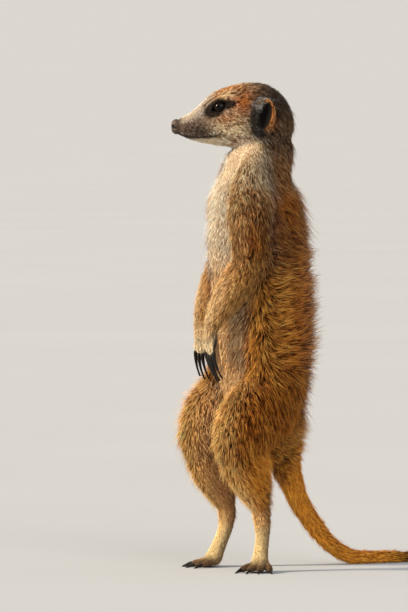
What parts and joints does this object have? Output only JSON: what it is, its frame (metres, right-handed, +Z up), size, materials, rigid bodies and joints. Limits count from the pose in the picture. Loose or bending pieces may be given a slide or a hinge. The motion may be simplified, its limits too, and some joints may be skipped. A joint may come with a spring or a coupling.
{
  "type": "meerkat",
  "caption": "Life-size meerkat standing upright on its hind feet and tail, arms hanging at the belly, head turned to its right.",
  "frame": {"origin": "middle of the whole model's footprint, on the floor", "axes": "+Z up; the trunk faces -Y, the animal's left side is +X, and the tail lies towards +Y"},
  "size_m": [0.0854, 0.2138, 0.3018],
  "materials": {
    "face_coat": "short grizzled grey and tan fur with a dark patch at each eye",
    "neck_coat": "soft cream fur, browner at the nape",
    "body_coat": "long golden brown fur with pale tips, darker on the back",
    "limb_coat": "short golden tan fur, cream on the hands and feet",
    "tail_coat": "golden fur, dark brown along the back of the tail",
    "tail_tip_coat": "black brown fur",
    "ear_coat": "short black fur with a rust brown rear rim",
    "nose": "moist dark pebbled skin",
    "eye": "wet dark brown eyeball",
    "claw": "dark smooth horn"
  },
  "bodies": {
    "root": {"claw_foot_left_1": "claw", "claw_foot_left_2": "claw", "claw_foot_left_3": "claw", "claw_foot_left_4": "claw", "claw_foot_right_1": "claw", "claw_foot_right_2": "claw", "claw_foot_right_3": "claw", "claw_foot_right_4": "claw", "claw_hand_left_1": "claw", "claw_hand_left_2": "claw", "claw_hand_left_3": "claw", "claw_hand_left_4": "claw", "claw_hand_right_1": "claw", "claw_hand_right_2": "claw", "claw_hand_right_3": "claw", "claw_hand_right_4": "claw", "ear_left": "ear_coat", "ear_right": "ear_coat", "eye_left": "eye", "eye_right": "eye", "foot_left": "limb_coat", "foot_right": "limb_coat", "forearm_left": "limb_coat", "forearm_right": "limb_coat", "hand_left": "limb_coat", "hand_right": "limb_coat", "head": "face_coat", "lower_jaw": "face_coat", "neck": "neck_coat", "nose": "nose", "shank_left": "limb_coat", "shank_right": "limb_coat", "tail_base": "tail_coat", "tail_middle": "tail_coat", "tail_tip": "tail_tip_coat", "thigh_left": "body_coat", "thigh_right": "body_coat", "trunk": "body_coat", "upper_arm_left": "body_coat", "upper_arm_right": "body_coat"}
  },
  "joints": []
}
